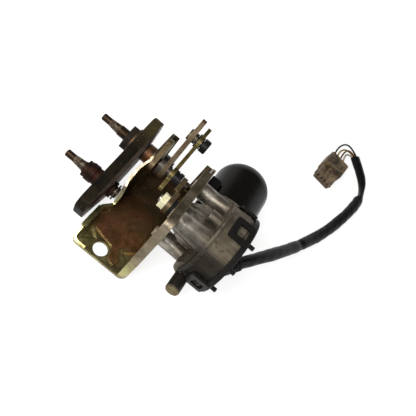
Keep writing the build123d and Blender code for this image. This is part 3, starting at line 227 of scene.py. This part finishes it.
def zinc_bracket():
    """Yellow passivated zinc: straw and olive, pink-brown on the raised panel, with painted shade towards the
    linkage.
    """
    finish = Finish("yellow_zinc")
    straw = finish.ramp(
        finish.noise(26, 4, 0.55, 0.6),
        (0.30, (0.10, 0.075, 0.03)),
        (0.45, (0.26, 0.225, 0.085)),
        (0.56, (0.47, 0.44, 0.21)),
        (0.70, (0.14, 0.10, 0.045)),
    )
    pink = finish.ramp(
        finish.noise(24, 3, 0.5, 0.8),
        (0.32, (0.14, 0.075, 0.025)),
        (0.48, (0.27, 0.115, 0.055)),
        (0.60, (0.19, 0.11, 0.04)),
        (0.72, (0.32, 0.15, 0.10)),
    )
    umber = finish.mottle(55, (0.085, 0.055, 0.022), (0.19, 0.145, 0.07), 0.36, 0.62)
    right = finish.times(finish.zone("X", -16.0, 2.0), finish.zone("Z", 12.0, 5.0))
    straw = finish.blend(finish.times(right, 0.8), straw, umber)
    # pink-brown on the raised panel's flat top, and less on the sunken floor behind the hole
    panel = finish.times(finish.zone("Z", 3.0, 4.4), finish.zone("Z", 5.4, 4.7))
    panel = finish.times(panel, finish.facing_up())
    sunken = finish.times(finish.zone("Y", -78.0, -60.0), finish.zone("Z", 5.0, 3.6))
    colour = finish.blend(finish.larger(panel, finish.times(sunken, 0.8)), straw, pink)
    # the walls above the low rim are browner and greyer
    brown = finish.mottle(50, (0.12, 0.095, 0.065), (0.23, 0.19, 0.145), 0.38, 0.62)
    colour = finish.blend(finish.times(finish.zone("Z", 10.0, 45.0), 0.9), colour, brown)
    # painted shade: the web darkens low down under the linkage, in patches
    painted_shade_under_linkage = finish.times(finish.zone("Y", -52.0, -4.0), finish.zone("Z", 50.0, 4.0))
    painted_shade_under_linkage = finish.times(painted_shade_under_linkage, finish.patches(60, 0.3, 0.6, 0.45, 0.95, detail=6))
    colour = finish.blend(painted_shade_under_linkage, colour, (0.05, 0.034, 0.014))
    specks = finish.patches(300, 0.69, 0.74, detail=3, roughness=0.5)
    colour = finish.blend(finish.times(specks, 0.6), colour, (0.03, 0.02, 0.012))
    # edges are rubbed bright, most at the front and least on the web
    rub = finish.times(finish.edges(0.9), finish.patches(160, 0.25, 0.6, 0.2, 0.95))
    rub = finish.times(rub, finish.zone("Y", 0.0, -50.0, 0.45, 1.0))
    rub = finish.times(rub, finish.zone("Z", 4.6, 6.2, 0.25, 1.0))
    colour = finish.blend(rub, colour, (0.36, 0.33, 0.19))
    roughness = finish.plus(finish.gloss(120, 0.20, 0.42), finish.times(rub, 0.2))
    waves = finish.plus(finish.noise(40, 3, 0.5), finish.times(finish.noise(800, 4), 0.12))
    return finish.close(colour, roughness, 0.85, waves, 0.35, soft_mm=0.8, strength=0.6)


def cast_aluminium():
    """Raw die casting: lighter legs and neck with bare metal and a painted highlight near the flange, a darker
    brown-grey drum, a black boss, pores and flow marks.
    """
    finish = Finish("cast_housing")
    drift = finish.noise(45, 6, 0.6, 0.5)
    clean = finish.ramp(
        drift,
        (0.30, (0.082, 0.067, 0.049)),
        (0.50, (0.165, 0.143, 0.113)),
        (0.72, (0.27, 0.243, 0.202)),
    )
    dull = finish.ramp(
        drift,
        (0.30, (0.085, 0.070, 0.049)),
        (0.50, (0.155, 0.130, 0.093)),
        (0.72, (0.22, 0.190, 0.148)),
    )
    drum = finish.zone("X", 50.0, 62.0)
    # bare metal near the flange, lightened further as a painted highlight on the neck and legs
    bare_and_highlight = finish.times(finish.zone("X", 52.0, 30.0), finish.patches(70, 0.35, 0.6, detail=4))
    colour = finish.blend(bare_and_highlight, finish.blend(drum, clean, dull), (0.52, 0.485, 0.42))
    streaks = finish.patches(60, 0.40, 0.62, distortion=0.2, stretch=(0.25, 6, 6))
    colour = finish.blend(finish.times(streaks, 0.45), colour, (0.045, 0.036, 0.025))
    pores = finish.patches(520, 0.62, 0.70, detail=4, roughness=0.65)
    colour = finish.blend(finish.times(pores, 0.75), colour, (0.03, 0.025, 0.018))
    dirt = finish.patches(95, 0.54, 0.68, most=0.85, detail=8, roughness=0.72, distortion=0.5)
    colour = finish.blend(dirt, colour, (0.04, 0.03, 0.02))
    boss = finish.zone("Y", -60.0, -68.0)
    colour = finish.blend(finish.times(boss, 0.85), colour, (0.014, 0.012, 0.010))
    rub = finish.times(finish.edges(0.9), finish.patches(260, 0.35, 0.6, most=0.7))
    colour = finish.blend(rub, colour, (0.42, 0.40, 0.35))
    roughness = finish.plus(finish.gloss(180, 0.34, 0.50), finish.times(dirt, 0.2))
    roughness = finish.plus(roughness, finish.times(drum, 0.22))
    grain = finish.plus(finish.noise(420, 6, 0.7), finish.times(finish.noise(1500, 3), 0.4))
    return finish.close(colour, roughness, 0.8, grain, 0.12, soft_mm=0.6, strength=0.7)


def moulded(name, base, dust, seed, rough, dust_share=0.3, depth_mm=0.05, specular=0.15):
    """Plastic, rubber or paint with a fine texture, scuffs and a little dust."""
    finish = Finish(name, seed)
    cloud = finish.patches(70, 1.0 - dust_share, 1.3 - dust_share, detail=6, roughness=0.7)
    colour = finish.blend(cloud, base, dust)
    rub = finish.times(finish.edges(0.5), finish.patches(300, 0.35, 0.65, most=0.5, detail=4))
    colour = finish.blend(rub, colour, dust)
    finish.shader.inputs["Specular IOR Level"].default_value = specular
    roughness = finish.gloss(220, *rough, roughness=0.65)
    return finish.close(colour, roughness, 0.0, finish.noise(1100, 4, 0.6), depth_mm)


def dirty_nylon():
    """Once white nylon, gone beige, with brown grime lying in broad patches."""
    finish = Finish("dirty_nylon")
    colour = finish.ramp(
        finish.noise(34, 3, 0.5, 1.2),
        (0.34, (0.022, 0.012, 0.005)),
        (0.45, (0.078, 0.047, 0.021)),
        (0.56, (0.21, 0.145, 0.080)),
        (0.74, (0.36, 0.27, 0.165)),
    )
    grime = finish.patches(150, 0.56, 0.68, most=0.7, detail=6, roughness=0.65)
    colour = finish.blend(grime, colour, (0.05, 0.032, 0.016))
    colour = finish.blend(finish.times(finish.edges(0.8), 0.4), colour, (0.34, 0.26, 0.165))
    roughness = finish.patches(160, 0.3, 0.7, 0.4, 0.62)
    return finish.close(colour, roughness, 0.0, finish.noise(300, 4), 0.12, soft_mm=1.0)


def spindle_finish(name, seed):
    """Greyed serrated taper, brown shank and dark brown threads."""
    finish = Finish(name, seed)
    taper = finish.times(finish.zone("X", -89.9, -88.9), finish.zone("X", -76.9, -78.2))
    bright = finish.mottle(160, (0.036, 0.027, 0.018), (0.115, 0.092, 0.070))
    brown = finish.mottle(90, (0.030, 0.017, 0.008), (0.012, 0.007, 0.004), detail=6)
    colour = finish.blend(taper, brown, bright)
    grime = finish.patches(210, 0.50, 0.64, most=0.88, detail=8, roughness=0.72)
    colour = finish.blend(grime, colour, (0.03, 0.02, 0.014))
    rub = finish.times(finish.edges(0.4), finish.patches(300, 0.3, 0.6, 0.1, 0.9, detail=4))
    colour = finish.blend(rub, colour, (0.22, 0.17, 0.12))
    return finish.close(colour, finish.gloss(150, 0.28, 0.5), 0.9, finish.noise(700, 5), 0.08)


def sleeve_finish():
    """Grey turned tube that turns to orange rust where it meets the flange."""
    finish = Finish("rusting_sleeve", 1.4)
    grey = finish.mottle(70, (0.030, 0.024, 0.016), (0.062, 0.052, 0.038))
    rust = finish.mottle(120, (0.045, 0.017, 0.005), (0.14, 0.055, 0.013), detail=6)
    rusted = finish.times(finish.zone("X", -45.0, -38.0), finish.patches(110, 0.36, 0.52, detail=6))
    colour = finish.blend(rusted, grey, rust)
    grime = finish.patches(160, 0.56, 0.68, most=0.8, detail=8, roughness=0.72)
    colour = finish.blend(grime, colour, (0.03, 0.022, 0.014))
    return finish.close(colour, finish.gloss(150, 0.36, 0.58), 0.75, finish.noise(700, 5), 0.08)


def bar_finish():
    """Olive passivated bar, worn near its top end and nearly black towards the lower one."""
    finish = Finish("olive_bar", 3.1)
    olive = finish.mottle(38, (0.036, 0.029, 0.012), (0.075, 0.062, 0.023))
    black = finish.mottle(70, (0.006, 0.005, 0.0035), (0.014, 0.011, 0.006))
    colour = finish.blend(finish.zone("Y", -10.0, 30.0), black, olive)
    specks = finish.patches(420, 0.70, 0.74, detail=3, roughness=0.5)
    colour = finish.blend(finish.times(specks, 0.8), colour, (0.32, 0.25, 0.10))
    rub = finish.times(finish.edges(0.6), finish.patches(220, 0.35, 0.6, most=0.5))
    colour = finish.blend(rub, colour, (0.20, 0.16, 0.08))
    finish.shader.inputs["Specular IOR Level"].default_value = 0.1
    return finish.close(colour, finish.gloss(150, 0.50, 0.70), 0.5, finish.noise(500, 5), 0.1)


FINISHES = {
    "bracket": zinc_bracket(),
    "spindle_bar": bar_finish(),
    "bar_plate": worn_metal(
        "brown_plate", (0.065, 0.044, 0.034), (0.125, 0.093, 0.075), (0.03, 0.02, 0.015),
        (0.36, 0.30, 0.25), seed=4.2, metallic=0.8, rough=(0.34, 0.52), scale=40,
    ),
    "drive_sleeve": sleeve_finish(),
    "drive_spindle": spindle_finish("drive_spindle_steel", 0.6),
    "idler_spindle": spindle_finish("idler_spindle_steel", 2.6),
    "spindle_nut": worn_metal(
        "dark_nut", (0.016, 0.013, 0.011), (0.035, 0.026, 0.018), (0.008, 0.007, 0.006), (0.12, 0.09, 0.06),
        seed=2.2, metallic=0.8, rough=(0.38, 0.6),
    ),
    "spindle_washer": worn_metal(
        "dark_washer", (0.03, 0.02, 0.013), (0.07, 0.04, 0.022), (0.01, 0.008, 0.006), (0.20, 0.13, 0.08),
        seed=5.2, metallic=0.8, rough=(0.35, 0.6),
    ),
    "idler_collar": worn_metal(
        "rusty_collar", (0.011, 0.003, 0.001), (0.030, 0.008, 0.003), (0.005, 0.002, 0.001),
        (0.06, 0.025, 0.012), seed=7.7, metallic=0.8, rough=(0.5, 0.7), scale=90, grime_share=0.42,
    ),
    "idler_clip": worn_metal(
        "dark_clip", (0.03, 0.026, 0.022), (0.06, 0.05, 0.04), (0.012, 0.012, 0.012), (0.2, 0.18, 0.15),
        seed=6.1, metallic=0.8,
    ),
    "sleeve_plate": worn_metal(
        "tan_plate", (0.080, 0.056, 0.026), (0.13, 0.094, 0.046), (0.03, 0.02, 0.011), (0.34, 0.27, 0.16),
        seed=8.3, metallic=0.75, rough=(0.38, 0.56), scale=50,
    ),
    "lever": worn_metal(
        "brown_lever", (0.042, 0.028, 0.014), (0.085, 0.061, 0.035), (0.028, 0.018, 0.011),
        (0.34, 0.27, 0.18), seed=9.4, metallic=0.78, rough=(0.36, 0.56), scale=48,
    ),
    "lever_hub": worn_metal(
        "dark_hub", (0.028, 0.024, 0.02), (0.06, 0.052, 0.045), (0.012, 0.01, 0.008), (0.22, 0.20, 0.17),
        seed=1.9, metallic=0.85, rough=(0.28, 0.5),
    ),
    "link_rod": worn_metal(
        "olive_rod", (0.060, 0.044, 0.015), (0.115, 0.088, 0.028), (0.035, 0.025, 0.010),
        (0.48, 0.42, 0.18), seed=2.9, metallic=0.8, rough=(0.32, 0.5), scale=44, grime_share=0.38,
    ),
    "crank_arm": worn_metal(
        "brown_crank", (0.085, 0.058, 0.028), (0.15, 0.11, 0.058), (0.025, 0.018, 0.010),
        (0.34, 0.27, 0.16), seed=3.9, metallic=0.78, rough=(0.36, 0.56), scale=52,
    ),
    "crank_nut": worn_metal(
        "pale_zinc_nut", (0.78, 0.74, 0.44), (0.90, 0.87, 0.60), (0.25, 0.19, 0.08), (0.95, 0.93, 0.72),
        seed=0.7, metallic=0.45, rough=(0.35, 0.5), scale=90, grime_share=0.28,
    ),
    "mounting_bolts": worn_metal(
        "pinkish_bolts", (0.40, 0.29, 0.21), (0.55, 0.43, 0.34), (0.07, 0.045, 0.03), (0.75, 0.64, 0.50),
        seed=1.2, metallic=0.8, rough=(0.3, 0.5), scale=90, grime_share=0.45,
    ),
    "gear_housing": cast_aluminium(),
    "motor_can": moulded(
        "black_paint", (0.0050, 0.0040, 0.0030), (0.012, 0.010, 0.008), seed=4.4, rough=(0.20, 0.30),
        dust_share=0.16, depth_mm=0.008, specular=0.12,
    ),
    "gear_cover": moulded(
        "cover_plastic", (0.008, 0.0075, 0.007), (0.035, 0.032, 0.028), seed=5.8, rough=(0.36, 0.55),
    ),
    "boss_plug": worn_metal(
        "dull_brass", (0.13, 0.10, 0.04), (0.19, 0.15, 0.065), (0.03, 0.022, 0.01), (0.38, 0.32, 0.16),
        seed=6.6, metallic=0.8, rough=(0.35, 0.55), scale=110,
    ),
    "connector": dirty_nylon(),
}

BRIGHT_ZINC = worn_metal(
    "bright_zinc", (0.34, 0.32, 0.28), (0.50, 0.48, 0.44), (0.10, 0.08, 0.05), (0.7, 0.68, 0.62), seed=0.3,
    metallic=0.9, rough=(0.25, 0.45), scale=80, grime_share=0.40,
)
DARK_STEEL = worn_metal(
    "dark_steel", (0.05, 0.04, 0.03), (0.12, 0.10, 0.075), (0.016, 0.012, 0.009), (0.32, 0.27, 0.20),
    seed=0.5, metallic=0.85, rough=(0.3, 0.5), scale=90, grime_share=0.45,
)
OILED_BRONZE = worn_metal(
    "oiled_bronze", (0.13, 0.075, 0.032), (0.20, 0.125, 0.055), (0.04, 0.026, 0.013), (0.36, 0.25, 0.13),
    seed=0.9, metallic=0.85,
)
BLACK_RUBBER = moulded(
    "black_rubber", (0.008, 0.008, 0.008), (0.035, 0.032, 0.028), seed=2.0, rough=(0.5, 0.7),
)
BLACK_BUSH = moulded(
    "black_bush", (0.007, 0.007, 0.007), (0.035, 0.032, 0.026), seed=3.0, rough=(0.25, 0.45),
)
ACETAL = moulded(
    "acetal", (0.62, 0.60, 0.52), (0.40, 0.36, 0.28), seed=1.0, rough=(0.35, 0.5),
)
FERRITE = moulded(
    "ferrite", (0.05, 0.05, 0.05), (0.10, 0.10, 0.10), seed=7.0, rough=(0.5, 0.7), dust_share=0.4,
)
COPPER = worn_metal(
    "copper", (0.45, 0.20, 0.10), (0.55, 0.27, 0.14), (0.12, 0.06, 0.03), (0.7, 0.4, 0.25), seed=5.0,
)
LAMINATED = worn_metal(
    "laminated_steel", (0.25, 0.24, 0.23), (0.34, 0.33, 0.31), (0.08, 0.07, 0.06), (0.5, 0.48, 0.45),
    seed=8.0,
)

SHARED = {
    BRIGHT_ZINC: ["output_shaft", "front_bearing"],
    DARK_STEEL: ["crank_end_nut", "crank_pin", "lever_pin", "can_screws"],
    OILED_BRONZE: ["drive_bushes", "idler_bush", "output_bush", "rear_bush"],
    BLACK_RUBBER: ["shaft_seal", "cover_seal", "lead_boot"],
    # the terminal block fills the dark gap between flange and can: a black part, and painted shade of that gap
    # as well
    BLACK_BUSH: ["rod_bush", "crank_pin_bush", "lever_pin_cap", "terminal_block"],
    ACETAL: ["worm_wheel", "brush_plate"],
    FERRITE: ["field_magnets", "brushes"],
    COPPER: ["park_ring", "park_contacts", "windings", "commutator"],
    LAMINATED: ["armature_core", "armature_shaft"],
}
for finish, nodes in SHARED.items():
    for node in nodes:
        FINISHES[node] = finish


def dress(obj, material):
    obj.data.materials.clear()
    obj.data.materials.append(material)


for node, material in FINISHES.items():
    dress(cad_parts[node], material)

# ---------------------------------------------------------------- lead
LEAD_D = 13.0
WIRE_D = 2.6
SLEEVE_SIDES = 28
WIRE_SIDES = 14
SLEEVE_STEPS = 24  # points between two of the route's
WIRE_STEPS = 12

# where the limp sleeve is pinched and dented, as shares of the way along it, and by how many mm
PINCH = 0.815
PINCH_IN = 4.0
PINCH_REGAINED = 4.4
DENT = 0.33
DENT_SIDE = 0.8
DENT_TOP = 0.9
SPREAD = 0.9  # it lies a little flat: wider
SAG = 0.8  # and lower
LEAD_ROUTE = [
    (106.2, -19.0, 42.9),
    (123.1, 5.8, 40.0),
    (148.6, 47.8, 27.0),
    (173.1, 92.3, 13.0),
    (198.1, 143.8, 7.0),
    (214.6, 193.3, 7.0),
    (223.4, 227.3, 7.0),
    (227.6, 261.8, 7.0),
    (216.1, 294.8, 7.0),
    (193.6, 319.3, 7.0),
]
WIRE_ROUTES = {
    "black": [
        (194.4, 321.1, 8.8),
        (182.6, 326.8, 11.0),
        (168.6, 322.8, 14.0),
        (160.6, 308.8, 13.0),
        (158.8, 292.8, 11.0),
        (159.6, 276.7, 10.0),
    ],
    "yellow": [
        (194.4, 321.1, 5.2),
        (183.6, 323.8, 6.0),
        (172.1, 317.8, 8.0),
        (166.1, 304.8, 9.0),
        (164.8, 290.3, 10.0),
        (165.5, 275.8, 10.0),
    ],
    "brown": [
        (191.5, 319.0, 8.8),
        (182.3, 319.8, 10.5),
        (174.6, 313.3, 12.5),
        (171.1, 301.8, 12.5),
        (170.5, 288.3, 11.0),
        (171.5, 275.0, 10.0),
    ],
    "white": [
        (191.5, 319.0, 5.2),
        (182.8, 318.1, 5.2),
        (178.2, 311.3, 5.8),
        (177.2, 299.8, 7.0),
        (177.6, 286.6, 8.5),
        (177.5, 274.2, 10.0),
    ],
}
WIRE_COLOURS = {
    "black": (0.015, 0.014, 0.013),
    "yellow": (0.50, 0.33, 0.05),
    "brown": (0.16, 0.075, 0.03),
    "white": (0.55, 0.47, 0.36),
}


def line_points(route, steps):
    """The points in metres along the smooth line that a route's points control."""
    data = bpy.data.curves.new("line", "CURVE")
    data.dimensions = "3D"
    data.resolution_u = steps
    spline = data.splines.new("NURBS")
    spline.points.add(len(route) - 1)
    for point, place in zip(spline.points, route):
        point.co = (*(Vector(place) * MM), 1.0)
    spline.order_u = 3
    spline.use_endpoint_u = True
    obj = bpy.data.objects.new("line", data)
    bpy.context.scene.collection.objects.link(obj)
    mesh = bpy.data.meshes.new_from_object(obj.evaluated_get(bpy.context.evaluated_depsgraph_get()))
    places = [vertex.co.copy() for vertex in mesh.vertices]
    bpy.data.objects.remove(obj)
    bpy.data.curves.remove(data)
    bpy.data.meshes.remove(mesh)
    return places


def line_length(places):
    return sum((b - a).length for a, b in zip(places, places[1:]))


def bump_at(value, centre, width):
    return math.exp(-(((value - centre) / width) ** 2))


def smooth_step(value, low, high):
    share = min(1.0, max(0.0, (value - low) / (high - low)))
    return share * share * (3.0 - 2.0 * share)


def sleeve_offset(way, turn):
    """Sideways and upward reach in mm of the limp sleeve: flattened, dented, and pinched where it bends most."""
    laid = smooth_step(way, 0.02, 0.15)
    wide = LEAD_D / 2 + SPREAD * laid
    wide -= PINCH_IN * smooth_step(way, PINCH - 0.045, PINCH)
    wide += PINCH_REGAINED * smooth_step(way, PINCH + 0.01, PINCH + 0.11)
    wide -= DENT_SIDE * bump_at(way, DENT, 0.018)
    wide += 0.16 * math.sin(way * 46.0) + 0.08 * math.sin(way * 131.0 + 1.3)
    high = LEAD_D / 2 - SAG * laid + 0.15 * math.sin(way * 38.0 + 0.8)
    high -= DENT_TOP * bump_at(way, DENT, 0.015)
    # shallow creases run round and along it, with one deeper fold at the pinch and one at the dent
    crease = 1.0 + 0.012 * math.sin(5 * turn + 60 * way) + 0.010 * math.sin(3 * turn - 140 * way)
    crease -= 0.16 * bump_at(way, PINCH, 0.035) * bump_at(turn, 1.2, 0.5)
    crease -= 0.22 * bump_at(way, DENT, 0.012) * bump_at(turn, 1.5, 0.6)
    return wide * math.cos(turn) * crease, high * math.sin(turn) * crease


def wire_offset(way, turn):
    return WIRE_D / 2 * math.cos(turn), WIRE_D / 2 * math.sin(turn)


def make_tube(name, places, sides, offset_at, material):
    """A closed tube along a line, its outline given by offset_at for a share of the way and a turn round it."""
    total = line_length(places)
    bm = bmesh.new()
    rings = []
    run = 0.0
    for index, place in enumerate(places):
        if index:
            run += (place - places[index - 1]).length
        ahead = places[min(index + 1, len(places) - 1)] - places[max(index - 1, 0)]
        side = ahead.cross(Vector((0, 0, 1))).normalized()
        up = side.cross(ahead).normalized()
        ring = []
        for step in range(sides):
            wide, high = offset_at(run / total, 2 * math.pi * step / sides)
            ring.append(bm.verts.new(place + (side * wide + up * high) * MM))
        rings.append(ring)
    for near, far in zip(rings, rings[1:]):
        for step in range(sides):
            after = (step + 1) % sides
            bm.faces.new((near[step], near[after], far[after], far[step]))
    bm.faces.new(rings[0][::-1])
    bm.faces.new(rings[-1])
    bmesh.ops.recalc_face_normals(bm, faces=bm.faces)
    mesh = bpy.data.meshes.new(name)
    bm.to_mesh(mesh)
    bm.free()
    for face in mesh.polygons:
        face.use_smooth = len(face.vertices) == 4
    obj = bpy.data.objects.new(name, mesh)
    bpy.context.scene.collection.objects.link(obj)
    dress(obj, material)
    return obj


def make_lead():
    places = line_points(LEAD_ROUTE, SLEEVE_STEPS)
    vinyl = moulded(
        "vinyl", (0.008, 0.008, 0.009), (0.022, 0.020, 0.019), seed=6.0, rough=(0.22, 0.40),
        dust_share=0.18, depth_mm=0.06, specular=0.10,
    )
    sleeve = make_tube("lead", places, SLEEVE_SIDES, sleeve_offset, vinyl)
    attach(sleeve, "frame")
    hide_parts("lead_sleeve")
    for colour, route in WIRE_ROUTES.items():
        places = line_points(route, WIRE_STEPS)
        insulation = moulded(
            f"insulation_{colour}", WIRE_COLOURS[colour], (0.10, 0.08, 0.06), seed=6.5, rough=(0.3, 0.5),
            depth_mm=0.03,
        )
        wire = make_tube(f"strand_{colour}", places, WIRE_SIDES, wire_offset, insulation)
        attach(wire, "frame")
        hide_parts(f"wire_{colour}")


make_lead()

# ---------------------------------------------------------------- floor, background and light
FLOOR_SIZE = 1.0
FLOOR_PLACE = (0.06, 0.10, -0.0002)
FLOOR_GLOW = 0.82
FLOOR_FADE = (0.22, 0.42)  # distances in m over which the floor turns plain white
CEILING = 0.12  # strength overhead, where the walls have 1
WALL_TOP = (0.30, 0.55)  # sines of the heights over which the walls darken
ROOM = 0.06  # strength that lights the object
LAMPS = {
    # place, aim, size in m, power in W, colour
    "key": ((-0.45, -0.15, 0.85), (0.03, 0.0, 0.04), 0.60, 4.0, (1.0, 0.97, 0.92)),
    "front": ((-0.12, -0.42, 0.52), (0.05, 0.0, 0.04), 0.24, 3.0, (1.0, 0.98, 0.95)),
    "right": ((0.75, 0.15, 0.50), (0.08, 0.05, 0.04), 0.30, 1.2, (0.95, 0.97, 1.0)),
}


def background_rays(tree):
    """1 for the rays that meet the pale background: the camera's own, and those mirrored or let through."""
    path = tree.nodes.new("ShaderNodeLightPath")
    share = path.outputs["Is Camera Ray"]
    for kind in ("Is Glossy Ray", "Is Transmission Ray"):
        node = tree.nodes.new("ShaderNodeMath")
        node.operation = "MAXIMUM"
        tree.links.new(share, node.inputs[0])
        tree.links.new(path.outputs[kind], node.inputs[1])
        share = node.outputs["Value"]
    return share


def mixed(tree, share, first, second):
    node = tree.nodes.new("ShaderNodeMixShader")
    tree.links.new(share, node.inputs["Fac"])
    tree.links.new(first, node.inputs[1])
    tree.links.new(second, node.inputs[2])
    return node.outputs["Shader"]


def make_floor():
    """A pale floor that keeps the shadow near the object and is white where it ends."""
    bpy.ops.mesh.primitive_plane_add(size=FLOOR_SIZE, location=FLOOR_PLACE)
    floor = bpy.context.active_object
    floor.name = "floor"
    material = bpy.data.materials.new("pale_floor")
    material.use_nodes = True
    tree = material.node_tree
    tree.nodes.clear()
    output = tree.nodes.new("ShaderNodeOutputMaterial")
    matt = tree.nodes.new("ShaderNodeBsdfDiffuse")
    matt.inputs["Color"].default_value = (0.40, 0.40, 0.395, 1)
    glow = tree.nodes.new("ShaderNodeEmission")
    glow.inputs["Strength"].default_value = FLOOR_GLOW
    lit = tree.nodes.new("ShaderNodeAddShader")
    tree.links.new(matt.outputs["BSDF"], lit.inputs[0])
    tree.links.new(glow.outputs["Emission"], lit.inputs[1])
    white = tree.nodes.new("ShaderNodeEmission")
    reach = tree.nodes.new("ShaderNodeVectorMath")
    reach.operation = "LENGTH"
    tree.links.new(tree.nodes.new("ShaderNodeTexCoord").outputs["Object"], reach.inputs[0])
    far = eased(tree, reach.outputs["Value"], *FLOOR_FADE, 0.0, 1.0)
    pale = mixed(tree, far, lit.outputs["Shader"], white.outputs["Emission"])
    dim = tree.nodes.new("ShaderNodeBsdfDiffuse")
    dim.inputs["Color"].default_value = (0.30, 0.29, 0.28, 1)
    tree.links.new(mixed(tree, background_rays(tree), dim.outputs["BSDF"], pale), output.inputs["Surface"])
    floor.data.materials.append(material)


def make_world():
    """White walls under a dark ceiling for the rays that see the background, and a dim room for the rest."""
    world = bpy.data.worlds.new("studio")
    bpy.context.scene.world = world
    world.use_nodes = True
    tree = world.node_tree
    tree.nodes.clear()
    output = tree.nodes.new("ShaderNodeOutputWorld")
    walls = tree.nodes.new("ShaderNodeBackground")
    walls.inputs["Color"].default_value = (1, 1, 1, 1)
    height = tree.nodes.new("ShaderNodeSeparateXYZ")
    tree.links.new(tree.nodes.new("ShaderNodeTexCoord").outputs["Generated"], height.inputs["Vector"])
    tree.links.new(eased(tree, height.outputs["Z"], *WALL_TOP, 1.0, CEILING), walls.inputs["Strength"])
    room = tree.nodes.new("ShaderNodeBackground")
    room.inputs["Color"].default_value = (0.95, 0.97, 1.0, 1)
    room.inputs["Strength"].default_value = ROOM
    tree.links.new(mixed(tree, background_rays(tree), room.outputs["Background"], walls.outputs["Background"]),
                   output.inputs["Surface"])


def area_light(name, place, aim, size, power, colour):
    data = bpy.data.lights.new(name, "AREA")
    data.size = size
    data.energy = power
    data.color = colour
    light = bpy.data.objects.new(name, data)
    light.location = place
    light.rotation_euler = (Vector(aim) - Vector(place)).to_track_quat("-Z", "Y").to_euler()
    bpy.context.scene.collection.objects.link(light)


make_floor()
make_world()
for name, lamp in LAMPS.items():
    area_light(name, *lamp)
bpy.context.scene.view_settings.view_transform = "Standard"
